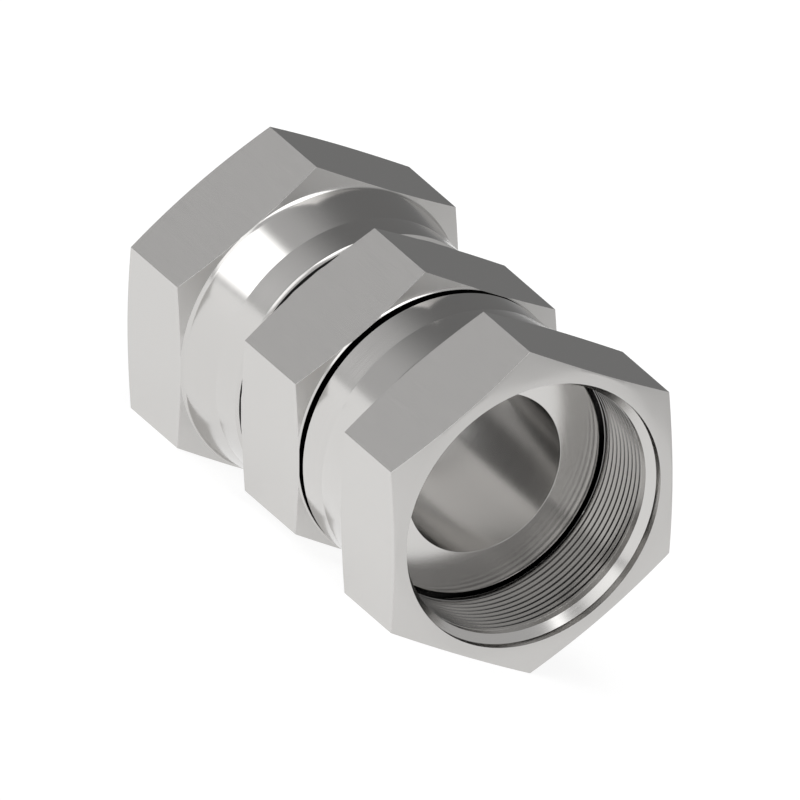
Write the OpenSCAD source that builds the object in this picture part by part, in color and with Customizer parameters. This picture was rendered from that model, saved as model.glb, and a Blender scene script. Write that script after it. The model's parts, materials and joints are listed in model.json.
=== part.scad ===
// Straight union fitting with a swivel nut on each end.
// The body is turned from one bar: a hexagon in the middle, a stem to each side
// and a flow bore right through. Each stem has a collar and ends in a flat
// sealing nose. A hexagon nut runs freely on each collar. Its rear skirt is
// crimped in behind the collar, so that it can turn but can't come off.
// The flow axis is X, a flat of every hexagon is down, and the origin is the
// centre of the body. Places along X are worked out from the centre outwards.

/* [Body] */
// Height of the middle hexagon's flats above the neck, which makes it 44.45 across
hex_wall = 2.2125; // [2:0.0125:3.2]
// Length of the middle hexagon at its corners
body_hex_len = 15; // [12:0.1:18]
// How far the round shoulders lie inside the flats of the middle hexagon
shoulder_step = 0.1; // [0.05:0.05:0.4]
// Height of each shoulder's face above the tips of the flats
shoulder_h = 0.3; // [0.2:0.05:0.8]
// Radius of the fillet between the middle hexagon's cone and its shoulder
shoulder_fillet = 0.3; // [0.1:0.05:0.4]
// Rounding of the shoulder's outer edge
shoulder_round = 0.1; // [0.05:0.05:0.15]
// Diameter of the flow bore
bore_d = 26.1; // [20:0.1:30]
// Length of the collar that the nut turns on
collar_len = 3.08; // [2:0.02:6]
// Length of the nose from the collar to the sealing face
nose_len = 4.9; // [3:0.1:8]
// Width of the small cone that breaks the nose's outer edge
nose_break = 0.42; // [0.1:0.02:0.8]
// Width of the small cone that breaks the bore's edge
bore_break = 0.1; // [0.05:0.05:0.6]

/* [Nut] */
// Wall between the nut's mouth and its flats, which makes it 47.625 across
nut_wall = 2.0875; // [1.8:0.0125:4]
// Length of the nut's hexagon at its corners
nut_hex_len = 13.79; // [12:0.01:18]
// Rise of the nut's front face above the front corners of its hexagon
face_rise = 1.06; // [0.8:0.02:1.2]
// Length of the round skirt, from the nut's rear end to its hexagon's corners
skirt_len = 14.73; // [13:0.01:17]
// How far the thick end of the skirt lies inside the flats of the nut
skirt_step = 0.18; // [0.1:0.01:0.5]
// Wall of the skirt at its thick end
skirt_wall = 2; // [1.7:0.01:2.3]
// Radius of the fillet between the nut's hexagon and its skirt
skirt_fillet = 0.9; // [0.3:0.1:1.2]
// Length of the straight rim at the rear of the skirt
rim_len = 5.65; // [4:0.05:7]
// How far the skirt's taper brings the rim in
rim_drop = 1.22; // [0.9:0.02:1.6]
// Wall of the rim
rim_wall = 1.6; // [1.2:0.02:2]
// Rounding of the rim's outer edge
rim_round = 0.25; // [0.1:0.05:0.4]
// Width of the bevel inside the end of the rim
rim_bevel = 0.7; // [0.2:0.05:0.8]
// Length of the rim's straight bore
rim_bore_len = 4.6; // [3:0.05:5.5]
// Length of the crimped cone between the rim's bore and the collar's bore
crimp_len = 2; // [1:0.05:3]

/* [Nut opening] */
// Diameter inside the thread's crests, which is the wall that a plug meets
thread_d = 41.06; // [38:0.02:41.6]
// How far the counterbore in the nut's mouth lies outside the thread's crests
mouth_step = 1.195; // [0.9:0.005:1.5]
// Depth of that counterbore
mouth_depth = 1.3; // [0.5:0.1:3]
// Depth of the undercut behind the thread
relief_depth = 0.85; // [0.3:0.05:1.1]
// Length of the web that bears on the collar
web_len = 1.8; // [1:0.1:2.6]

/* [Clearances] */
// Gap all round between the collar and the skirt
running_gap = 0.07; // [0.03:0.01:0.1]
// Gap between the front of the collar and the nut's inner shoulder
end_gap = 0.3; // [0.2:0.05:0.6]
// Distance along the axis from the end of the crimped cone to the collar's rear edge
crimp_gap = 0.3; // [0.2:0.05:0.6]
// Gap all round between the neck and the rim
neck_gap = 0.8; // [0.4:0.1:2]
// Gap all round between the nose and the web
web_gap = 0.4; // [0.3:0.05:0.6]
// Gap all round between the nose and the thread's crests
nose_gap = 0.63; // [0.3:0.01:2]
// Gap between the body's shoulder and the rear end of the nut
nut_gap = 1.3; // [0.6:0.1:4]
// Distance from the sealing face to the rear end of the thread
thread_start = 0.3; // [0.1:0.1:1]

/* [Turned cones] */
// Angle of the cones that cut the hexagons' corners, from the end plane
chamfer_angle = 15; // [10:1:20]

/* [Hidden] */
$fn = 96;
fillet_steps = 6;
// How far cutters and turned blanks run past the metal
spare = 1;

body_finish = [0.70, 0.69, 0.67];
nut_finish = [0.76, 0.75, 0.73];

// Radius at a hexagon's corners, and the rise of the end cone between two radii
function corner_r(af) = af / 2 / cos(30);
function cone_rise(from_r, to_r) = (from_r - to_r) * tan(chamfer_angle);

// Radii of the nut, from its thread outwards and then inwards at its skirt
thread_r = thread_d / 2;
mouth_r = thread_r + mouth_step;
relief_r = thread_r + relief_depth;
nut_af = 2 * (mouth_r + nut_wall);
nut_corner_r = corner_r(nut_af);
skirt_r = nut_af / 2 - skirt_step;
seat_bore_r = skirt_r - skirt_wall;
rim_r = skirt_r - rim_drop;
rim_bore_r = rim_r - rim_wall;

// Radii of the body, which fit inside the nut's
collar_r = seat_bore_r - running_gap;
neck_r = rim_bore_r - neck_gap;
nose_r = thread_r - nose_gap;
web_bore_r = nose_r + web_gap;
bore_r = bore_d / 2;
body_af = 2 * (neck_r + hex_wall);
body_corner_r = corner_r(body_af);
shoulder_r = body_af / 2 - shoulder_step;

// Places along the axis, from the centre outwards
half_hex = body_hex_len / 2;
flat_tip = half_hex + cone_rise(body_corner_r, body_af / 2);
shoulder_face = flat_tip + shoulder_h;

nut_rear = shoulder_face + nut_gap;
rim_front = nut_rear + rim_len;
crimp_start = nut_rear + rim_bore_len;
seat_rear = crimp_start + crimp_len;
nut_hex_rear = nut_rear + skirt_len;
skirt_front = nut_hex_rear - cone_rise(nut_corner_r, nut_af / 2);
taper_angle = atan(rim_drop / (skirt_front - rim_front));
nut_hex_front = nut_hex_rear + nut_hex_len;
nut_front = nut_hex_front + face_rise;
nut_face_r = nut_corner_r - face_rise / tan(chamfer_angle);
mouth_bottom = nut_front - mouth_depth;
thread_front = mouth_bottom - (mouth_r - thread_r);
collar_rear = seat_rear + crimp_gap;
collar_front = collar_rear + collar_len;
web_rear = collar_front + end_gap;
web_front = web_rear + web_len;
seal_face = collar_front + nose_len;
thread_rear = seal_face + thread_start;

// Outlines are lists of [distance along the axis, radius], turned about the X axis
module turned(outline) {
    rotate([0, 90, 0])
        rotate_extrude()
            polygon([for (p = outline) [p[1], p[0]]]);
}

// A hexagonal bar along X with a flat down
module hex_bar(af, from, to) {
    translate([from, 0, 0])
        rotate([0, 90, 0])
            rotate([0, 0, 30])
                cylinder(r = corner_r(af), h = to - from, $fn = 6);
}

// Points of an arc about a centre
function arc(centre, r, from, to) = [
    for (i = [0 : fillet_steps])
        let (a = from + (to - from) * i / fillet_steps)
        [centre[0] + r * cos(a), centre[1] + r * sin(a)]
];

// Centre of a fillet between a hexagon's end cone and the round that follows it.
// The cone passes through the corner at [x, corner] and narrows towards +X. The round
// passes through the point side and narrows towards +X by the angle taper.
function fillet_centre(x, corner, side, taper, fillet) =
    let (
        to_cone = x * cos(chamfer_angle) + corner * sin(chamfer_angle) + fillet,
        to_side = side[0] * sin(taper) + side[1] * cos(taper) + fillet
    )
    [
        to_cone * cos(taper) - to_side * sin(chamfer_angle),
        to_side * cos(chamfer_angle) - to_cone * sin(taper)
    ] / cos(chamfer_angle + taper);

// The fillet itself, from the cone down to the round
function cone_fillet(x, corner, side, taper, fillet) =
    arc(fillet_centre(x, corner, side, taper, fillet), fillet, 180 + chamfer_angle, 270 - taper);

// The hexagon with its end cones, up to the shoulders
module body_hex() {
    over = body_corner_r + spare;
    foot = half_hex - cone_rise(over, body_corner_r);
    side = concat(
        [[0, 0], [0, over], [foot, over]],
        cone_fillet(half_hex, body_corner_r, [flat_tip, shoulder_r], 0, shoulder_fillet),
        arc([shoulder_face - shoulder_round, shoulder_r - shoulder_round], shoulder_round, 90, 0),
        [[shoulder_face, 0]]
    );
    intersection() {
        hex_bar(body_af, -shoulder_face - spare, shoulder_face + spare);
        union() {
            turned(side);
            mirror([1, 0, 0]) turned(side);
        }
    }
}

// Neck, collar and nose on the +X side
module stem() {
    turned([
        [0, 0], [0, neck_r], [collar_rear - (collar_r - neck_r), neck_r],
        [collar_rear, collar_r], [collar_front, collar_r], [collar_front, nose_r],
        [seal_face - nose_break / 2, nose_r], [seal_face, nose_r - nose_break], [seal_face, 0]
    ]);
}

// Half of the flow bore, with its edge broken by a 45 degree cone
module flow_bore() {
    mouth = bore_r + bore_break + spare;
    turned([
        [-spare, 0], [-spare, bore_r], [seal_face - bore_break, bore_r],
        [seal_face + spare, mouth], [seal_face + spare, 0]
    ]);
}

module body() {
    color(body_finish)
        difference() {
            union() {
                body_hex();
                stem();
                mirror([1, 0, 0]) stem();
            }
            flow_bore();
            mirror([1, 0, 0]) flow_bore();
        }
}

// Outside of the nut, turned from the rim over the taper and the fillet to the front face
module nut_outside() {
    over = nut_corner_r + spare;
    foot_rear = nut_hex_rear + cone_rise(over, nut_corner_r);
    foot_front = nut_hex_front - cone_rise(over, nut_corner_r);
    skirt_start = [-skirt_front, skirt_r];
    rear_fillet = cone_fillet(-nut_hex_rear, nut_corner_r, skirt_start, taper_angle, skirt_fillet);
    outline = concat(
        [[nut_rear, 0], [nut_rear, rim_r - rim_round]],
        arc([nut_rear + rim_round, rim_r - rim_round], rim_round, 180, 90),
        [[rim_front, rim_r]],
        [for (i = [fillet_steps : -1 : 0]) [-rear_fillet[i][0], rear_fillet[i][1]]],
        [[foot_rear, over], [foot_front, over], [nut_front, nut_face_r], [nut_front, 0]]
    );
    intersection() {
        hex_bar(nut_af, nut_rear - spare, nut_front + spare);
        turned(outline);
    }
}

// Inside of the nut, from the rim over the collar's bore and the web to the mouth
module nut_inside() {
    turned([
        [nut_rear - spare, 0], [nut_rear - spare, rim_bore_r + rim_bevel + spare],
        [nut_rear + rim_bevel, rim_bore_r], [crimp_start, rim_bore_r],
        [seat_rear, seat_bore_r], [web_rear, seat_bore_r],
        [web_rear, web_bore_r], [web_front, web_bore_r],
        [web_front, relief_r], [thread_rear - (relief_r - thread_r), relief_r],
        [thread_rear, thread_r], [thread_front, thread_r],
        [mouth_bottom, mouth_r], [nut_front + spare, mouth_r], [nut_front + spare, 0]
    ]);
}

module nut() {
    difference() {
        nut_outside();
        nut_inside();
    }
}

module front_nut() {
    color(nut_finish) nut();
}

module rear_nut() {
    color(nut_finish) mirror([1, 0, 0]) nut();
}

body();
front_nut();
rear_nut();
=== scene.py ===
"""Models the looks of a straight hydraulic union with two threaded swivel nuts.

Every piece is turned from an outline on the lathe axis X, its flats are then milled off the
turned blank, its sharp edges are broken, and a tap cuts the thread of each nut.
"""

import json
import math
from types import SimpleNamespace

import bpy
from mathutils import Matrix, Vector


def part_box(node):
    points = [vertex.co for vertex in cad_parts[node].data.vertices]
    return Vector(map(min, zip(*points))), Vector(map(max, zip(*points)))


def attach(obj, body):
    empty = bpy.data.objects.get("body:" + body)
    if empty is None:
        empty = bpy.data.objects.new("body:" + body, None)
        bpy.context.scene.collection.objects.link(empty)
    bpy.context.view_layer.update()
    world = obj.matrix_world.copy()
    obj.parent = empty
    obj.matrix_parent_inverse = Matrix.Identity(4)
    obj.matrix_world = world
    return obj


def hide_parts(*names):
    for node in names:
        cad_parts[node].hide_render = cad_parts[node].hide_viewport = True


bl_info = {
    "name": "Straight Swivel Union",
    "version": (1, 0, 0),
    "blender": (4, 5, 0),
    "location": "View3D > Sidebar > Union",
    "description": "Models a straight hydraulic union with two threaded swivel nuts",
    "category": "Add Mesh",
}

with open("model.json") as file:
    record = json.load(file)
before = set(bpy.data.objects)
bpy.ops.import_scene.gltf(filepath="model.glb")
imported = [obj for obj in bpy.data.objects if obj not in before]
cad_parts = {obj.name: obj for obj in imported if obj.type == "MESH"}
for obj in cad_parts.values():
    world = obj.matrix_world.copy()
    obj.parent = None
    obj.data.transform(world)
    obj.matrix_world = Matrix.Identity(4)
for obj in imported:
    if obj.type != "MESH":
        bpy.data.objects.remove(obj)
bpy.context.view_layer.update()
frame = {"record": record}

MM = 0.001
NUT_LOW, NUT_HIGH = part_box("front_nut")
BODY_LOW, BODY_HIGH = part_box("body")
MOUNTS = {mount["name"]: mount for mount in frame["record"]["mounts"]}
THREAD_RADIUS = MOUNTS["front_thread"]["dims"]["r_mm"] * MM
BORE_RADIUS = MOUNTS["flow_bore"]["dims"]["r_mm"] * MM

# Turning, milling and tapping
TURN_STEPS = 192
ARC_STEPS = 8
SPARE = 1 * MM
MERGE_DISTANCE = 1e-7
HEX_SIDES = 6
TAP_OVERLAP = 0.03 * MM
TAP_LEAD_TURNS = 2
TAP_SPARE_TURNS = 3
BLANK_STOCK = SPARE / 2
SHARP_EDGE = math.radians(30)
BEVEL_SEGMENTS = 2
SMOOTH_ANGLE = math.radians(50)

# Finishes, in the order of each piece's materials, and how their faces are told apart; two finishes are
# painted shade, darker steel in the clearances and in the thread's grooves
TURNED, DRAWN, CLEARANCE_SHADE, GROOVE_SHADE, FACED = range(5)
FLAT_TOLERANCE = 1e-5
CONE_TOLERANCE = 0.01
PAINT_MARGIN = SPARE / 4
GROOVE_TOP_SHARE = 1 / 3

# Grain of the steel
NOISE_LOW, NOISE_HIGH = 0.3, 0.7
NOISE_DETAIL = 3
TURNING_MARKS_PER_MM = 8
MARKS_ALONG_TURN = 0.6
DRAWN_LINES_PER_MM = 6
LINES_ALONG_BAR = 0.2
TINT = 0.01
GLOSS_SPREAD = 0.1
PLAIN_RELIEF = 0.02
FAINT_RELIEF = 0.01
RELIEF_HEIGHT = 0.02 * MM

# The camera's axes, at the photograph's angle
CAMERA_RIGHT = Vector((0.5, 0.75, 0.433013))
CAMERA_UP = Vector((-0.433013, -0.216506, 0.875))
CAMERA_BACK = Vector((0.75, -0.625, 0.216506))
CAMERA_DISTANCE = 0.5


def patch(azimuth, elevation, start, end, level):
    """A round soft patch of the surround, between two cosines of the angle from its middle."""
    return SimpleNamespace(
        azimuth=math.radians(azimuth), elevation=math.radians(elevation),
        start=start, end=end, level=level)


def panel(azimuth, elevation, roll, half_width, half_height, level):
    """A flat soft panel of light: the direction of its middle, its roll, its size and its tone."""
    return SimpleNamespace(
        azimuth=math.radians(azimuth), elevation=math.radians(elevation), roll=math.radians(roll),
        half_width=math.radians(half_width), half_height=math.radians(half_height), level=level)


FLOOR_ROUGHNESS = 0.9

# Tones of the surround, where 1 is white
ROOM_TONE = 0.556
DOWN_GAIN, DOWN_START, DOWN_END = 0.35, 0.5, 0.95
GLOW = patch(152, -58, 0.68, 0.92, 1.05)
DUSK = patch(152, 36, 0.64, 0.94, 0.19)
PANEL_BLUR = math.radians(3)
PANELS = (
    panel(-116, 20.3, 0, 18, 16.2, 2.6),
    panel(-71, 22, 0, 25, 16, 1.65),
    panel(-67.1, 69.2, -49.2, 29, 13.6, 2.4),
)


class NutSizes(bpy.types.PropertyGroup):
    """Sizes of a swivel nut"""

    across_flats: bpy.props.FloatProperty(
        name="Across flats", description="Width of the hexagon across its flats",
        default=2 * NUT_HIGH.z, unit="LENGTH", precision=5)
    hex_length: bpy.props.FloatProperty(
        name="Hexagon length", description="Length of the hexagon at its corners",
        default=13.79 * MM, unit="LENGTH", precision=5)
    face_rise: bpy.props.FloatProperty(
        name="Face rise", description="Rise of the front face above the hexagon's front corners",
        default=1.06 * MM, unit="LENGTH", precision=5)
    skirt_step: bpy.props.FloatProperty(
        name="Skirt step", description="How far the skirt's thick end lies inside the flats",
        default=0.18 * MM, unit="LENGTH", precision=5)
    skirt_wall: bpy.props.FloatProperty(
        name="Skirt wall", description="Wall of the skirt at its thick end",
        default=2 * MM, unit="LENGTH", precision=5)
    skirt_fillet: bpy.props.FloatProperty(
        name="Skirt fillet", description="Fillet between the hexagon's cone and the skirt",
        default=1.4 * MM, unit="LENGTH", precision=5)
    rim_reach: bpy.props.FloatProperty(
        name="Rim reach", description="How far the rim reaches behind the solid's, as the photo shows",
        default=0.4 * MM, unit="LENGTH", precision=5)
    rim_length: bpy.props.FloatProperty(
        name="Rim length", description="Length of the straight rim at the rear of the skirt",
        default=6.05 * MM, unit="LENGTH", precision=5)
    rim_drop: bpy.props.FloatProperty(
        name="Rim drop", description="How far the skirt's taper brings the rim in",
        default=1.22 * MM, unit="LENGTH", precision=5)
    rim_wall: bpy.props.FloatProperty(
        name="Rim wall", description="Wall of the rim",
        default=1.6 * MM, unit="LENGTH", precision=5)
    rim_break: bpy.props.FloatProperty(
        name="Rim edge", description="Width of the bevel that breaks the rim's outer edge",
        default=0.44 * MM, unit="LENGTH", precision=5)
    rim_bevel: bpy.props.FloatProperty(
        name="Rim bevel", description="Width of the bevel inside the end of the rim",
        default=0.7 * MM, unit="LENGTH", precision=5)
    rim_bore_length: bpy.props.FloatProperty(
        name="Rim bore", description="Length of the rim's straight bore",
        default=5 * MM, unit="LENGTH", precision=5)
    crimp_length: bpy.props.FloatProperty(
        name="Crimp", description="Length of the crimped cone between the rim's bore and the collar's",
        default=2 * MM, unit="LENGTH", precision=5)
    web_rear: bpy.props.FloatProperty(
        name="Web", description="Place along the axis of the web that bears on the collar",
        default=20.3 * MM, unit="LENGTH", precision=5)
    web_length: bpy.props.FloatProperty(
        name="Web length", description="Length of the web that bears on the collar",
        default=1.8 * MM, unit="LENGTH", precision=5)
    web_radius: bpy.props.FloatProperty(
        name="Web bore", description="Radius of the hole in the web",
        default=20.3 * MM, unit="LENGTH", precision=5)
    relief_depth: bpy.props.FloatProperty(
        name="Relief", description="Depth of the undercut behind the thread",
        default=0.85 * MM, unit="LENGTH", precision=5)
    mouth_step: bpy.props.FloatProperty(
        name="Mouth step", description="How far the counterbore lies outside the thread's crests",
        default=1.195 * MM, unit="LENGTH", precision=5)
    mouth_depth: bpy.props.FloatProperty(
        name="Mouth depth", description="Depth of the counterbore in the nut's mouth",
        default=1.3 * MM, unit="LENGTH", precision=5)
    thread_rear: bpy.props.FloatProperty(
        name="Thread start", description="Place along the axis of the rear end of the thread",
        default=24.9 * MM, unit="LENGTH", precision=5)
    thread_land_front: bpy.props.FloatProperty(
        name="Plain land", description="Length of the plain bore between the thread and its lead-in",
        default=1.1 * MM, unit="LENGTH", precision=5)
    thread_pitch: bpy.props.FloatProperty(
        name="Pitch", description="Advance of the thread in one turn",
        default=1.132 * MM, unit="LENGTH", precision=5)
    thread_depth: bpy.props.FloatProperty(
        name="Thread depth", description="Depth of the thread's groove",
        default=0.42 * MM, unit="LENGTH", precision=5)
    thread_land: bpy.props.FloatProperty(
        name="Land", description="Share of the pitch that the thread's crest takes",
        default=0.6, min=0.1, max=0.8)
    thread_flank: bpy.props.FloatProperty(
        name="Flank", description="Share of the groove that each of its flanks takes",
        default=0.4, min=0.1, max=0.45)


class BodySizes(bpy.types.PropertyGroup):
    """Sizes of the body"""

    across_flats: bpy.props.FloatProperty(
        name="Across flats", description="Width of the middle hexagon across its flats",
        default=2 * BODY_HIGH.z, unit="LENGTH", precision=5)
    hex_length: bpy.props.FloatProperty(
        name="Hexagon length", description="Length of the middle hexagon at its corners",
        default=15 * MM, unit="LENGTH", precision=5)
    shoulder_step: bpy.props.FloatProperty(
        name="Shoulder step", description="How far inside the flats the shoulder's fillet would run out",
        default=0.05 * MM, unit="LENGTH", precision=5)
    shoulder_height: bpy.props.FloatProperty(
        name="Shoulder height", description="Height of each shoulder's face above the flats",
        default=0.2 * MM, unit="LENGTH", precision=5)
    shoulder_fillet: bpy.props.FloatProperty(
        name="Shoulder fillet", description="Fillet between the hexagon's cone and the shoulder",
        default=1.4 * MM, unit="LENGTH", precision=5)
    neck_radius: bpy.props.FloatProperty(
        name="Neck", description="Radius of the neck behind each collar",
        default=20.0125 * MM, unit="LENGTH", precision=5)
    collar_radius: bpy.props.FloatProperty(
        name="Collar", description="Radius of the collars that the nuts turn on",
        default=21.5625 * MM, unit="LENGTH", precision=5)
    collar_front: bpy.props.FloatProperty(
        name="Collar front", description="Place along the axis of the front of a collar",
        default=20 * MM, unit="LENGTH", precision=5)
    collar_length: bpy.props.FloatProperty(
        name="Collar length", description="Length of a collar",
        default=3.08 * MM, unit="LENGTH", precision=5)
    nose_gap: bpy.props.FloatProperty(
        name="Nose gap", description="Gap all round between the nose and the thread's crests",
        default=0.63 * MM, unit="LENGTH", precision=5)
    nose_break: bpy.props.FloatProperty(
        name="Nose edge", description="Width of the small cone that breaks the nose's edge",
        default=0.42 * MM, unit="LENGTH", precision=5)
    bore_break: bpy.props.FloatProperty(
        name="Bore edge", description="Width of the small cone that breaks the bore's edge",
        default=0.04 * MM, unit="LENGTH", precision=5)


class FinishSettings(bpy.types.PropertyGroup):
    """Finish of the steel"""

    cone_angle: bpy.props.FloatProperty(
        name="Hexagon cones", description="Angle of the cones that cut the hexagons' corners",
        default=math.radians(15), subtype="ANGLE")
    fillet_slope: bpy.props.FloatProperty(
        name="Fillet slope", description="Slope, from the axis, at which the fillets leave the cones",
        default=math.radians(42), subtype="ANGLE")
    edge_break: bpy.props.FloatProperty(
        name="Edge break", description="Width of the bevel on every sharp edge",
        default=0.02 * MM, unit="LENGTH", precision=5)
    steel: bpy.props.FloatVectorProperty(
        name="Steel", description="Colour of the bright steel",
        default=(0.6, 0.59, 0.577), size=3, subtype="COLOR", min=0, max=1)
    # Painted shade: the clearances between the pieces are painted this share of the steel's tone, for the
    # shade that falls in them.
    clearance_shade_share: bpy.props.FloatProperty(
        name="Shaded steel", description="Tone of the shaded clearances, as a share of the bright steel's",
        default=0.1, min=0, max=1, subtype="FACTOR")
    # Painted shade: the thread's grooves are painted this share of the steel's tone, for the shade in
    # them.
    groove_shade_share: bpy.props.FloatProperty(
        name="Groove steel", description="Tone of the thread's grooves, as a share of the bright steel's",
        default=0.4, min=0, max=1, subtype="FACTOR")
    roughness: bpy.props.FloatProperty(
        name="Roughness", description="Roughness of the turned steel",
        default=0.17, min=0, max=1, subtype="FACTOR")
    faced_roughness: bpy.props.FloatProperty(
        name="Faced roughness", description="Roughness of the outer end faces and hexagon cones",
        default=0.42, min=0, max=1, subtype="FACTOR")


class StageSettings(bpy.types.PropertyGroup):
    """The floor, the light and the camera"""

    view_width: bpy.props.FloatProperty(
        name="View width", description="Width of the picture at the fitting",
        default=118.5 * MM, unit="LENGTH", precision=5)
    floor_size: bpy.props.FloatProperty(
        name="Floor", description="Width of the floor",
        default=20, unit="LENGTH")
    floor_colour: bpy.props.FloatVectorProperty(
        name="Floor colour", description="Colour of the pale floor",
        default=(0.9, 0.9, 0.9), size=3, subtype="COLOR", min=0, max=1)
    shadow_share: bpy.props.FloatProperty(
        name="Shadow", description="Share of the light on the floor that its tone follows",
        default=0.25, min=0, max=1, subtype="FACTOR")
    floor_light: bpy.props.FloatProperty(
        name="Floor light", description="Tone that the light alone gives the open floor",
        default=0.62, min=0, max=1)


def deselect_all():
    """Leaves no object selected."""
    bpy.ops.object.select_all(action="DESELECT")


def edit(piece):
    """Opens a piece in edit mode with everything in it selected."""
    deselect_all()
    piece.select_set(True)
    bpy.context.view_layer.objects.active = piece
    bpy.ops.object.mode_set(mode="EDIT")
    bpy.ops.mesh.select_all(action="SELECT")


def leave_edit():
    """Goes back to object mode."""
    bpy.ops.object.mode_set(mode="OBJECT")


def apply_modifier(piece, kind, **settings):
    """Adds a modifier to a piece and applies it."""
    deselect_all()
    piece.select_set(True)
    bpy.context.view_layer.objects.active = piece
    bpy.ops.object.modifier_add(type=kind)
    modifier = piece.modifiers[-1]
    for name, value in settings.items():
        setattr(modifier, name, value)
    bpy.ops.object.modifier_apply(modifier=modifier.name)


def arc(centre, radius, start, end, steps=ARC_STEPS):
    """Points of an arc about a centre, between two angles."""
    angles = [start + (end - start) * step / steps for step in range(steps + 1)]
    return [(centre[0] + radius * math.cos(a), centre[1] + radius * math.sin(a)) for a in angles]


def corner_radius(across_flats):
    """Radius of a hexagon's corners."""
    return across_flats / 2 / math.cos(math.pi / HEX_SIDES)


def cone_fillet(corner, side, finish, taper, fillet, face=None):
    """Points of a fillet between a hexagon's end cone and the round that follows it.

    The cone passes through the point corner and narrows towards +X. The round passes through
    the point side and narrows towards +X by the angle taper. The fillet leaves the cone at a
    corner, and ends smoothly on the round, or is cut off at the place of a face.
    """
    cone, slope = finish.cone_angle, finish.fillet_slope
    leave = fillet * math.sin(cone + slope)
    to_cone = corner[0] * math.cos(cone) + corner[1] * math.sin(cone) + leave
    to_side = side[0] * math.sin(taper) + side[1] * math.cos(taper) + fillet
    turn = math.cos(cone + taper)
    centre = (
        (to_cone * math.cos(taper) - to_side * math.sin(cone)) / turn,
        (to_side * math.cos(cone) - to_cone * math.sin(taper)) / turn,
    )
    end = 1.5 * math.pi - taper
    if face is not None:
        end = math.pi + math.acos((centre[0] - face) / fillet)
    return arc(centre, fillet, 1.5 * math.pi - slope, end)


def draw_wire(name, points):
    """Draws a chain of edges in the XY plane, one extruded vertex after the other."""
    deselect_all()
    bpy.ops.mesh.primitive_plane_add(size=MM, location=(points[0][0], points[0][1], 0))
    wire = bpy.context.object
    wire.name = name
    bpy.ops.object.transform_apply(location=True, rotation=True, scale=True)
    bpy.ops.object.mode_set(mode="EDIT")
    bpy.ops.mesh.select_all(action="SELECT")
    bpy.ops.mesh.merge(type="CENTER")
    for (x, r), (next_x, next_r) in zip(points, points[1:]):
        bpy.ops.mesh.extrude_vertices_move(
            TRANSFORM_OT_translate={"value": (next_x - x, next_r - r, 0)})
    leave_edit()
    return wire


def turn_ring(name, outline):
    """Turns a closed outline of (place along the axis, radius) points about the X axis."""
    ring = draw_wire(name, outline + outline[:1])
    edit(ring)
    bpy.ops.mesh.spin(
        steps=TURN_STEPS, angle=2 * math.pi, center=(0, 0, 0), axis=(1, 0, 0), use_auto_merge=True)
    bpy.ops.mesh.select_all(action="SELECT")
    bpy.ops.mesh.remove_doubles(threshold=MERGE_DISTANCE)
    bpy.ops.mesh.normals_make_consistent(inside=False)
    leave_edit()
    return ring


def mill_flats(piece, across_flats):
    """Mills the six flats of a hexagon off a turned blank."""
    edit(piece)
    for side in range(HEX_SIDES):
        angle = math.pi / HEX_SIDES * (2 * side + 1)
        outwards = Vector((0, math.cos(angle), math.sin(angle)))
        bpy.ops.mesh.select_all(action="SELECT")
        bpy.ops.mesh.bisect(
            plane_co=outwards * across_flats / 2, plane_no=outwards,
            use_fill=True, clear_outer=True, threshold=MERGE_DISTANCE)
    bpy.ops.mesh.select_all(action="SELECT")
    bpy.ops.mesh.normals_make_consistent(inside=False)
    leave_edit()


def break_edges(piece, width):
    """Gives every sharp edge of a piece a narrow rounded bevel."""
    edit(piece)
    bpy.ops.mesh.select_mode(type="EDGE")
    bpy.ops.mesh.select_all(action="DESELECT")
    bpy.ops.mesh.edges_select_sharp(sharpness=SHARP_EDGE)
    bpy.ops.mesh.bevel(
        offset=width, segments=BEVEL_SEGMENTS, affect="EDGES", clamp_overlap=False)
    bpy.ops.mesh.select_mode(type="VERT")
    leave_edit()


def make_tap(sizes, start, end):
    """A solid tap: its outside is the thread's helix, crest by crest, and its ends are flat."""
    crest, root = THREAD_RADIUS, THREAD_RADIUS + sizes.thread_depth
    land = sizes.thread_pitch * sizes.thread_land
    flank = (sizes.thread_pitch - land) * sizes.thread_flank
    first = start - TAP_LEAD_TURNS * sizes.thread_pitch
    profile = [
        (first, crest), (first + land, crest), (first + land + flank, root),
        (first + sizes.thread_pitch - flank, root), (first + sizes.thread_pitch, crest)]
    tap = draw_wire("tap", profile)
    turns = math.ceil((end - start) / sizes.thread_pitch) + TAP_SPARE_TURNS
    apply_modifier(
        tap, "SCREW", axis="X", angle=2 * math.pi, screw_offset=sizes.thread_pitch,
        iterations=turns, steps=TURN_STEPS, render_steps=TURN_STEPS,
        use_merge_vertices=True, merge_threshold=MERGE_DISTANCE)
    edit(tap)
    bpy.ops.mesh.remove_doubles(threshold=MERGE_DISTANCE)
    for place, outwards in ((start, -1), (end, 1)):
        bpy.ops.mesh.select_all(action="SELECT")
        bpy.ops.mesh.bisect(
            plane_co=(place, 0, 0), plane_no=(outwards, 0, 0),
            use_fill=True, clear_outer=True, threshold=MERGE_DISTANCE)
    bpy.ops.mesh.select_all(action="SELECT")
    bpy.ops.mesh.normals_make_consistent(inside=False)
    leave_edit()
    return tap


def cut_thread(nut, sizes, start, end):
    """Taps the nut's bore."""
    tap = make_tap(sizes, start, end)
    apply_modifier(nut, "BOOLEAN", operation="DIFFERENCE", object=tap, solver="EXACT")
    deselect_all()
    tap.select_set(True)
    bpy.ops.object.delete()


def finish_surface(piece):
    """Shades a piece smooth up to its sharp edges, with its large faces kept flat."""
    deselect_all()
    piece.select_set(True)
    bpy.context.view_layer.objects.active = piece
    bpy.ops.object.shade_smooth_by_angle(angle=SMOOTH_ANGLE)
    apply_modifier(piece, "WEIGHTED_NORMAL", keep_sharp=True)


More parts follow.
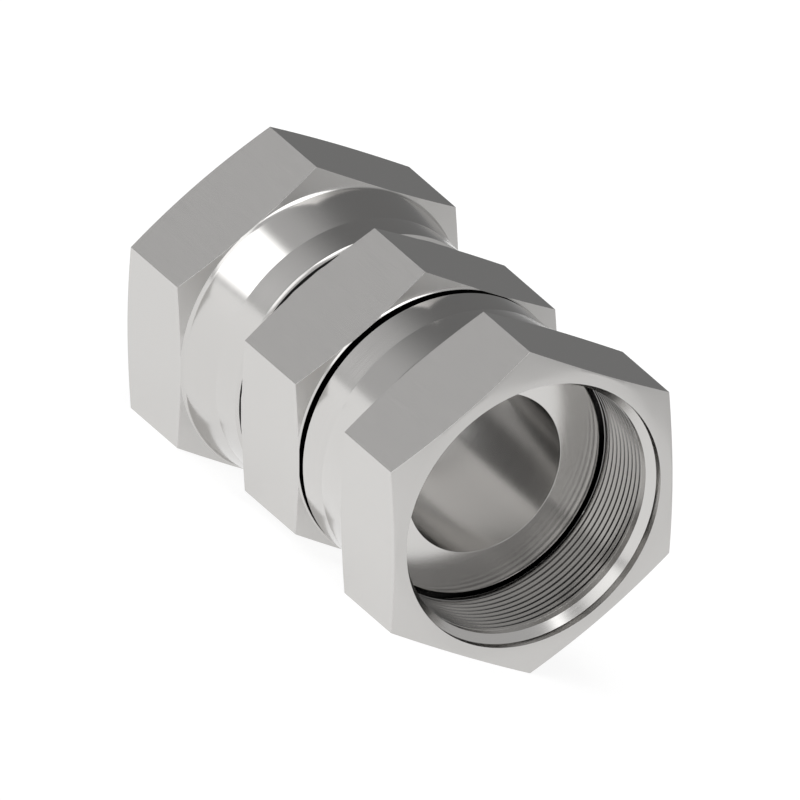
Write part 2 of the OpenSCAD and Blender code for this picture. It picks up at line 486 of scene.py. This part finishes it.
def thread_end(sizes):
    """Place along the axis of the front end of a nut's thread."""
    return NUT_HIGH.x - sizes.mouth_depth - sizes.mouth_step - sizes.thread_land_front


def nut_outline(sizes, finish):
    """The closed outline of a nut on the +X side, in order: skirt, hexagon, mouth and bore."""
    rear, front = NUT_LOW.x - sizes.rim_reach, NUT_HIGH.x
    corner = corner_radius(sizes.across_flats)
    over = corner + SPARE
    rise = math.tan(finish.cone_angle)
    hex_front = front - sizes.face_rise
    hex_rear = hex_front - sizes.hex_length
    face_radius = corner - sizes.face_rise / rise
    skirt_radius = sizes.across_flats / 2 - sizes.skirt_step
    skirt_front = hex_rear - (corner - sizes.across_flats / 2) * rise
    rim_front = rear + sizes.rim_length
    rim_radius = skirt_radius - sizes.rim_drop
    rim_bore = rim_radius - sizes.rim_wall
    seat_bore = skirt_radius - sizes.skirt_wall
    taper = math.atan(sizes.rim_drop / (skirt_front - rim_front))
    fillet = cone_fillet(
        (-hex_rear, corner), (-skirt_front, skirt_radius), finish, taper, sizes.skirt_fillet)
    relief = THREAD_RADIUS + sizes.relief_depth
    mouth = THREAD_RADIUS + sizes.mouth_step
    mouth_bottom = front - sizes.mouth_depth
    thread_front = thread_end(sizes)
    blank_bore = THREAD_RADIUS - BLANK_STOCK
    plain_bore = THREAD_RADIUS + TAP_OVERLAP
    crimp_start = rear + sizes.rim_bore_length
    web_front = sizes.web_rear + sizes.web_length
    outside = (
        [(rear, rim_radius - sizes.rim_break), (rear + sizes.rim_break, rim_radius),
         (rim_front - finish.edge_break, rim_radius),
         (rim_front + finish.edge_break, rim_radius + finish.edge_break * math.tan(taper))]
        + [(-x, r) for x, r in reversed(fillet)]
        + [(hex_rear + (over - corner) * rise, over),
           (hex_front - (over - corner) * rise, over),
           (front, face_radius)]
    )
    inside = [
        (front, mouth), (mouth_bottom, mouth), (mouth_bottom - mouth + plain_bore, plain_bore),
        (thread_front, plain_bore), (thread_front, blank_bore),
        (sizes.thread_rear + THREAD_RADIUS - blank_bore, blank_bore),
        (sizes.thread_rear - sizes.relief_depth, relief), (web_front, relief),
        (web_front, sizes.web_radius), (sizes.web_rear, sizes.web_radius),
        (sizes.web_rear, seat_bore), (crimp_start + sizes.crimp_length, seat_bore),
        (crimp_start, rim_bore), (rear + sizes.rim_bevel, rim_bore),
        (rear, rim_bore + sizes.rim_bevel)]
    return outside + inside


def turn_nut(name, sizes, finish):
    """Models a threaded nut on the +X side."""
    nut = turn_ring(name, nut_outline(sizes, finish))
    mill_flats(nut, sizes.across_flats)
    break_edges(nut, finish.edge_break)
    tap_start = sizes.web_rear + sizes.web_length + SPARE
    cut_thread(nut, sizes, tap_start, thread_end(sizes) + TAP_OVERLAP)
    finish_surface(nut)
    return nut


def body_outline(sizes, finish):
    """The closed outline of the body: its outside from end to end, and its bore."""
    cone = finish.cone_angle
    corner = corner_radius(sizes.across_flats)
    over = corner + SPARE
    half_hex = sizes.hex_length / 2
    flat_tip = half_hex + (corner - sizes.across_flats / 2) * math.tan(cone)
    shoulder = sizes.across_flats / 2 - sizes.shoulder_step
    shoulder_face = flat_tip + sizes.shoulder_height
    fillet = cone_fillet(
        (half_hex, corner), (flat_tip, shoulder), finish, 0, sizes.shoulder_fillet, shoulder_face)
    collar_rear = sizes.collar_front - sizes.collar_length
    nose = THREAD_RADIUS - sizes.nose_gap
    face = BODY_HIGH.x
    half = [
        (half_hex - (over - corner) * math.tan(cone), over)] + fillet + [
        (shoulder_face, sizes.neck_radius),
        (collar_rear - sizes.collar_radius + sizes.neck_radius, sizes.neck_radius),
        (collar_rear, sizes.collar_radius), (sizes.collar_front, sizes.collar_radius),
        (sizes.collar_front, nose), (face - sizes.nose_break / 2, nose),
        (face, nose - sizes.nose_break), (face, BORE_RADIUS + sizes.bore_break),
        (face - sizes.bore_break, BORE_RADIUS)]
    return half + [(-x, r) for x, r in reversed(half)]


def turn_body(name, sizes, finish):
    """Models the body."""
    body = turn_ring(name, body_outline(sizes, finish))
    mill_flats(body, sizes.across_flats)
    break_edges(body, finish.edge_break)
    finish_surface(body)
    return body


def new_material(name):
    """An empty node material, its Principled shader and its output."""
    material = bpy.data.materials.new(name)
    material.use_nodes = True
    nodes = material.node_tree.nodes
    shader = nodes["Principled BSDF"]
    return material, material.node_tree, shader


def add_node(tree, kind, **properties):
    """A new node with the given properties."""
    node = tree.nodes.new(kind)
    for name, value in properties.items():
        setattr(node, name, value)
    return node


def math_node(tree, operation, *inputs):
    """A Math node, its inputs linked from sockets or set from numbers."""
    node = add_node(tree, "ShaderNodeMath", operation=operation)
    for socket, value in zip(node.inputs, inputs):
        if isinstance(value, (int, float)):
            socket.default_value = value
        else:
            tree.links.new(value, socket)
    return node.outputs[0]


def lathe_coordinates(tree):
    """Sockets for the place along the axis, the radius and the angle about the axis."""
    place = add_node(tree, "ShaderNodeTexCoord").outputs["Object"]
    split = add_node(tree, "ShaderNodeSeparateXYZ")
    tree.links.new(place, split.inputs[0])
    x, y, z = split.outputs
    squares = math_node(tree, "ADD", math_node(tree, "POWER", y, 2), math_node(tree, "POWER", z, 2))
    return x, math_node(tree, "SQRT", squares), math_node(tree, "ARCTAN2", z, y)


def turning_marks(tree):
    """A noise drawn out along the lathe's turn, as the tool leaves it."""
    x, radius, angle = lathe_coordinates(tree)
    vector = add_node(tree, "ShaderNodeCombineXYZ")
    scale = TURNING_MARKS_PER_MM / MM
    for socket, value in zip(vector.inputs, (
            math_node(tree, "MULTIPLY", x, scale),
            math_node(tree, "MULTIPLY", radius, scale),
            math_node(tree, "MULTIPLY", angle, MARKS_ALONG_TURN))):
        tree.links.new(value, socket)
    noise = add_node(tree, "ShaderNodeTexNoise")
    noise.inputs["Scale"].default_value = 1
    noise.inputs["Detail"].default_value = NOISE_DETAIL
    tree.links.new(vector.outputs[0], noise.inputs["Vector"])
    return noise.outputs["Fac"]


def drawn_grain(tree):
    """A noise drawn out along the bar, as on its drawn flats."""
    place = add_node(tree, "ShaderNodeTexCoord").outputs["Object"]
    mapping = add_node(tree, "ShaderNodeMapping")
    across = DRAWN_LINES_PER_MM / MM
    mapping.inputs["Scale"].default_value = (LINES_ALONG_BAR / MM, across, across)
    tree.links.new(place, mapping.inputs["Vector"])
    noise = add_node(tree, "ShaderNodeTexNoise")
    noise.inputs["Scale"].default_value = 1
    noise.inputs["Detail"].default_value = NOISE_DETAIL
    tree.links.new(mapping.outputs[0], noise.inputs["Vector"])
    return noise.outputs["Fac"]


def ranged(tree, fac, low, high):
    """Spreads the middle of a noise over the range from low to high."""
    node = add_node(tree, "ShaderNodeMapRange")
    node.inputs["From Min"].default_value = NOISE_LOW
    node.inputs["From Max"].default_value = NOISE_HIGH
    node.inputs["To Min"].default_value = low
    node.inputs["To Max"].default_value = high
    tree.links.new(fac, node.inputs["Value"])
    return node.outputs["Result"]


def bright_steel(name, finish, grain, relief_strength, share=1, roughness=None):
    """Bright steel, or a share of its tone as painted shade: tone, gloss and surface all follow one fine
    grain.
    """
    material, tree, shader = new_material(name)
    marks = grain(tree)
    roughness = roughness or finish.roughness
    shader.inputs["Metallic"].default_value = 1
    mix = add_node(tree, "ShaderNodeMix", data_type="RGBA")
    # A share below 1 paints the steel darker, as shade.
    steel = Vector(finish.steel) * share
    mix.inputs["A"].default_value = (*(steel * (1 - TINT)), 1)
    mix.inputs["B"].default_value = (*(steel * (1 + TINT)), 1)
    tree.links.new(ranged(tree, marks, 0, 1), mix.inputs["Factor"])
    tree.links.new(mix.outputs["Result"], shader.inputs["Base Color"])
    tree.links.new(
        ranged(tree, marks, roughness * (1 - GLOSS_SPREAD), roughness * (1 + GLOSS_SPREAD)),
        shader.inputs["Roughness"])
    relief = add_node(tree, "ShaderNodeBump")
    relief.inputs["Strength"].default_value = relief_strength
    relief.inputs["Distance"].default_value = RELIEF_HEIGHT
    tree.links.new(marks, relief.inputs["Height"])
    tree.links.new(relief.outputs["Normal"], shader.inputs["Normal"])
    return material


def turned_steel(finish):
    """Steel with the fine rings that a lathe leaves."""
    return bright_steel("turned_steel", finish, turning_marks, PLAIN_RELIEF)


def painted_shade_steel(name, finish, share):
    """Steel painted darker as shade, for the clearances between the pieces and the thread's grooves."""
    return bright_steel(name, finish, turning_marks, FAINT_RELIEF, share)


def drawn_steel(finish):
    """Steel with the fine lines along the bar that drawing leaves."""
    return bright_steel("drawn_steel", finish, drawn_grain, PLAIN_RELIEF)


def faced_steel(finish):
    """Steel with the duller rings of a facing tool, for outer end faces and hexagon cones."""
    return bright_steel(
        "faced_steel", finish, turning_marks, FAINT_RELIEF, roughness=finish.faced_roughness)


def paint_steel(piece, across_flats, finish, clearance_shade_zone, groove=None):
    """Puts each finish on its faces of a piece.

    The flats are drawn, the clearance is painted dark as shade, the thread's grooves are painted
    darker as shade, the outer end faces and the hexagon's cones are faced, and all else is turned.
    """
    piece.data.materials.clear()
    for material in (
            turned_steel(finish), drawn_steel(finish),
            painted_shade_steel("painted_shade_steel", finish, finish.clearance_shade_share),
            painted_shade_steel("groove_painted_shade", finish, finish.groove_shade_share), faced_steel(finish)):
        piece.data.materials.append(material)
    end_slope = math.cos(finish.cone_angle) - CONE_TOLERANCE
    for face in piece.data.polygons:
        radial = Vector((0, face.center.y, face.center.z))
        on_flat = abs(face.normal.dot(face.center) - across_flats / 2) < FLAT_TOLERANCE
        if on_flat and abs(face.normal.x) < FLAT_TOLERANCE and face.normal.dot(radial) > 0:
            face.material_index = DRAWN
        # Painted shade: faces in the clearances between the pieces get the dark steel.
        elif lies_in(clearance_shade_zone, radial.length, abs(face.center.x)):
            face.material_index = CLEARANCE_SHADE
        # Painted shade: the thread's grooves get darker steel.
        elif groove and lies_in(groove, radial.length, abs(face.center.x)):
            face.material_index = GROOVE_SHADE
        elif abs(face.normal.x) > end_slope and radial.length > THREAD_RADIUS + SPARE:
            face.material_index = FACED


def lies_in(zone, radius, place):
    """Whether a radius and a place along the axis both lie between a zone's two of each."""
    inner, outer, start, end = zone
    return inner < radius < outer and start < place < end


def settings():
    """The sizes and settings of the open scene."""
    scene = bpy.context.scene
    return scene.union_nut, scene.union_body, scene.union_finish, scene.union_stage


class UNION_OT_body(bpy.types.Operator):
    """Turn the body and mill its hexagon"""

    bl_idname = "union.body"
    bl_label = "Body"

    def execute(self, context):
        _, sizes, finish, _ = settings()
        body = turn_body("union_body", sizes, finish)
        # Painted shade: the body's faces inside the nuts' clearances, from the shoulders to the noses'
        # sides, are painted dark.
        paint_steel(
            body, sizes.across_flats, finish,
            (THREAD_RADIUS - sizes.nose_gap - PAINT_MARGIN, sizes.collar_radius + PAINT_MARGIN,
             sizes.hex_length / 2 + SPARE, BODY_HIGH.x - sizes.nose_break))
        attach(body, "body")
        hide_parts("body")
        return {"FINISHED"}


class UNION_OT_swivel_nuts(bpy.types.Operator):
    """Turn, mill and tap the front nut, and turn its copy end for end on the rear"""

    bl_idname = "union.swivel_nuts"
    bl_label = "Swivel nuts"

    def execute(self, context):
        sizes, _, finish, _ = settings()
        front = turn_nut("front_swivel_nut", sizes, finish)
        # Painted shade: the nut's inside behind the thread is painted dark, and its thread's grooves
        # darker.
        paint_steel(
            front, sizes.across_flats, finish,
            (0, THREAD_RADIUS + sizes.relief_depth + PAINT_MARGIN,
             NUT_LOW.x, sizes.thread_rear - sizes.relief_depth),
            (THREAD_RADIUS + sizes.thread_depth * GROOVE_TOP_SHARE, THREAD_RADIUS + sizes.relief_depth,
             sizes.thread_rear, thread_end(sizes)))
        deselect_all()
        front.select_set(True)
        bpy.context.view_layer.objects.active = front
        bpy.ops.object.duplicate(linked=False)
        rear = bpy.context.object
        rear.name = "rear_swivel_nut"
        rear.data.transform(Matrix.Rotation(math.pi, 4, "Z"))
        for nut, end in ((front, "front_nut"), (rear, "rear_nut")):
            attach(nut, end)
            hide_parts(end)
        return {"FINISHED"}


def place_camera(stage):
    """A camera without perspective, at the photograph's angle."""
    data = bpy.data.cameras.new("camera")
    data.type = "ORTHO"
    data.ortho_scale = stage.view_width
    camera = bpy.data.objects.new("camera", data)
    bpy.context.scene.collection.objects.link(camera)
    turn = Matrix((CAMERA_RIGHT, CAMERA_UP, CAMERA_BACK)).transposed().to_4x4()
    camera.matrix_world = Matrix.Translation(CAMERA_BACK * CAMERA_DISTANCE) @ turn
    bpy.context.scene.camera = camera


def lay_floor(stage):
    """A plain floor under the fitting, white to the eye and in the metal, with its shadow."""
    deselect_all()
    bpy.ops.mesh.primitive_plane_add(size=stage.floor_size, location=(0, 0, NUT_LOW.z))
    floor = bpy.context.object
    floor.name = "floor"
    bpy.ops.object.transform_apply(location=True, rotation=True, scale=True)
    material, tree, shader = new_material("pale_floor")
    shader.inputs["Roughness"].default_value = FLOOR_ROUGHNESS
    path = add_node(tree, "ShaderNodeLightPath")
    seen = math_node(tree, "MAXIMUM", path.outputs["Is Camera Ray"], path.outputs["Is Glossy Ray"])
    seen = math_node(tree, "MAXIMUM", seen, path.outputs["Is Transmission Ray"])
    colour = add_node(tree, "ShaderNodeMix", data_type="RGBA")
    pale = Vector(stage.floor_colour)
    colour.inputs["A"].default_value = (*pale, 1)
    colour.inputs["B"].default_value = (*(pale * stage.shadow_share), 1)
    tree.links.new(seen, colour.inputs["Factor"])
    tree.links.new(colour.outputs["Result"], shader.inputs["Base Color"])
    shader.inputs["Emission Color"].default_value = (1, 1, 1, 1)
    white = 1 - stage.shadow_share * stage.floor_light
    tree.links.new(math_node(tree, "MULTIPLY", seen, white), shader.inputs["Emission Strength"])
    floor.data.materials.append(material)


def unit(azimuth, elevation):
    """The direction at an azimuth from +X towards +Y and an elevation above the horizon."""
    return Vector((
        math.cos(azimuth) * math.cos(elevation),
        math.sin(azimuth) * math.cos(elevation),
        math.sin(elevation)))


def dot_node(tree, socket, vector):
    """The dot product of a socket and a fixed vector."""
    node = add_node(tree, "ShaderNodeVectorMath", operation="DOT_PRODUCT")
    tree.links.new(socket, node.inputs[0])
    node.inputs[1].default_value = vector
    return node.outputs["Value"]


def soft_step(tree, value, low, high):
    """Rises smoothly from 0 at low to 1 at high."""
    node = add_node(tree, "ShaderNodeMapRange", interpolation_type="SMOOTHSTEP")
    node.inputs["From Min"].default_value = low
    node.inputs["From Max"].default_value = high
    tree.links.new(value, node.inputs["Value"])
    return node.outputs["Result"]


def towards_level(tree, tone, share, level):
    """Moves a tone towards a level by a share."""
    node = add_node(tree, "ShaderNodeMix")
    node.inputs["B"].default_value = level
    tree.links.new(share, node.inputs["Factor"])
    tree.links.new(tone, node.inputs["A"])
    return node.outputs["Result"]


def soft_panel(tree, direction, lamp):
    """Share of a flat soft panel seen in a direction: 1 on it, 0 beside it, soft at its edge."""
    centre = unit(lamp.azimuth, lamp.elevation)
    across = Vector((-math.sin(lamp.azimuth), math.cos(lamp.azimuth), 0))
    across = Matrix.Rotation(lamp.roll, 3, centre) @ across
    facing = dot_node(tree, direction, centre)
    share = math_node(tree, "GREATER_THAN", facing, 0)
    for axis, half in ((across, lamp.half_width), (centre.cross(across), lamp.half_height)):
        offset = math_node(tree, "DIVIDE", dot_node(tree, direction, axis), facing)
        offset = math_node(tree, "ABSOLUTE", offset)
        edge = soft_step(tree, offset, math.tan(half + PANEL_BLUR), math.tan(half - PANEL_BLUR))
        share = math_node(tree, "MULTIPLY", share, edge)
    return share


def light_room():
    """A grey surround with soft panels, lighter below and darker behind the fitting."""
    world = bpy.data.worlds.new("studio")
    bpy.context.scene.world = world
    world.use_nodes = True
    tree = world.node_tree
    surround = tree.nodes["Background"]
    direction = add_node(tree, "ShaderNodeTexCoord").outputs["Generated"]
    down = soft_step(tree, dot_node(tree, direction, (0, 0, -1)), DOWN_START, DOWN_END)
    tone = math_node(tree, "ADD", math_node(tree, "MULTIPLY", down, DOWN_GAIN), ROOM_TONE)
    for area in (GLOW, DUSK):
        facing = dot_node(tree, direction, unit(area.azimuth, area.elevation))
        share = soft_step(tree, facing, area.start, area.end)
        tone = towards_level(tree, tone, share, area.level)
    for lamp in PANELS:
        tone = towards_level(tree, tone, soft_panel(tree, direction, lamp), lamp.level)
    tree.links.new(tone, surround.inputs["Strength"])
    surround.inputs["Color"].default_value = (1, 1, 1, 1)


class UNION_OT_stage(bpy.types.Operator):
    """Lay the floor and set the light and the camera"""

    bl_idname = "union.stage"
    bl_label = "Stage"

    def execute(self, context):
        stage = settings()[-1]
        place_camera(stage)
        lay_floor(stage)
        light_room()
        context.scene.view_settings.view_transform = "Standard"
        return {"FINISHED"}


class UNION_PT_sidebar(bpy.types.Panel):
    """Sizes and steps of the union fitting"""

    bl_label = "Straight swivel union"
    bl_idname = "UNION_PT_sidebar"
    bl_space_type = "VIEW_3D"
    bl_region_type = "UI"
    bl_category = "Union"

    def draw(self, context):
        layout = self.layout
        for group in settings():
            box = layout.box()
            for name in group.__annotations__:
                box.prop(group, name)
        for operator in OPERATORS:
            layout.operator(operator.bl_idname)


GROUPS = (
    ("union_nut", NutSizes),
    ("union_body", BodySizes),
    ("union_finish", FinishSettings),
    ("union_stage", StageSettings),
)
OPERATORS = (UNION_OT_stage, UNION_OT_body, UNION_OT_swivel_nuts)


def register():
    for name, group in GROUPS:
        bpy.utils.register_class(group)
        setattr(bpy.types.Scene, name, bpy.props.PointerProperty(type=group))
    for operator in OPERATORS:
        bpy.utils.register_class(operator)
    bpy.utils.register_class(UNION_PT_sidebar)


def unregister():
    bpy.utils.unregister_class(UNION_PT_sidebar)
    for operator in reversed(OPERATORS):
        bpy.utils.unregister_class(operator)
    for name, group in reversed(GROUPS):
        delattr(bpy.types.Scene, name)
        bpy.utils.unregister_class(group)


def main():
    register()
    bpy.ops.union.stage()
    bpy.ops.union.body()
    bpy.ops.union.swivel_nuts()


if __name__ == "__main__":
    main()
